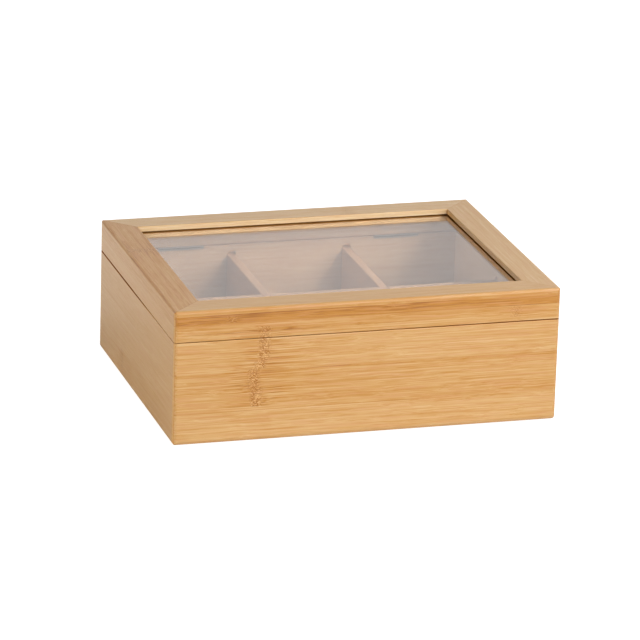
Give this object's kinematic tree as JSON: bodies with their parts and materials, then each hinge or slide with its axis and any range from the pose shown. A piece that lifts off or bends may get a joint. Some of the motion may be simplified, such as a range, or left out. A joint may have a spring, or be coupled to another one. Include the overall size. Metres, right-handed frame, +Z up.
{
  "type": "tea bag organizer box",
  "caption": "Low mitred bamboo box with dividers for tea bags and a hinged lid whose mitred frame holds a clear window pane.",
  "frame": {"origin": "the middle of the underside, on the surface that the box stands on", "axes": "+X to the box's right seen from the front, +Y from the front to the hinges at the back, +Z up"},
  "size_m": [0.22, 0.1746, 0.077],
  "materials": {
    "wall_bamboo": "natural bamboo, sanded and clear lacquered, satin",
    "frame_bamboo": "natural bamboo, sanded and clear lacquered, satin",
    "divider_bamboo": "natural bamboo, sanded, matt",
    "clear_acrylic": "clear polished acrylic sheet",
    "hinge_steel": "nickel plated stamped steel",
    "screw_steel": "zinc plated steel"
  },
  "bodies": {
    "box": {"front_wall": "wall_bamboo", "back_wall": "wall_bamboo", "left_wall": "wall_bamboo", "right_wall": "wall_bamboo", "bottom_panel": "divider_bamboo", "long_divider": "divider_bamboo", "left_cross_divider": "divider_bamboo", "right_cross_divider": "divider_bamboo", "left_hinge_body_leaf": "hinge_steel", "right_hinge_body_leaf": "hinge_steel", "left_hinge_pin": "screw_steel", "right_hinge_pin": "screw_steel", "body_hinge_screws": "screw_steel"},
    "lid": {"lid_front_skirt": "wall_bamboo", "lid_back_skirt": "wall_bamboo", "lid_left_skirt": "wall_bamboo", "lid_right_skirt": "wall_bamboo", "lid_front_rail": "frame_bamboo", "lid_back_rail": "frame_bamboo", "lid_left_rail": "frame_bamboo", "lid_right_rail": "frame_bamboo", "window_pane": "clear_acrylic", "left_hinge_lid_leaf": "hinge_steel", "right_hinge_lid_leaf": "hinge_steel", "lid_hinge_screws": "screw_steel"}
  },
  "joints": [
    {"name": "lid_hinge", "type": "hinge", "parent": "box", "child": "lid", "pos_m": [0, 0.0875, 0.0582], "axis": [-1, 0, 0], "range_deg": [0, 100]}
  ]
}
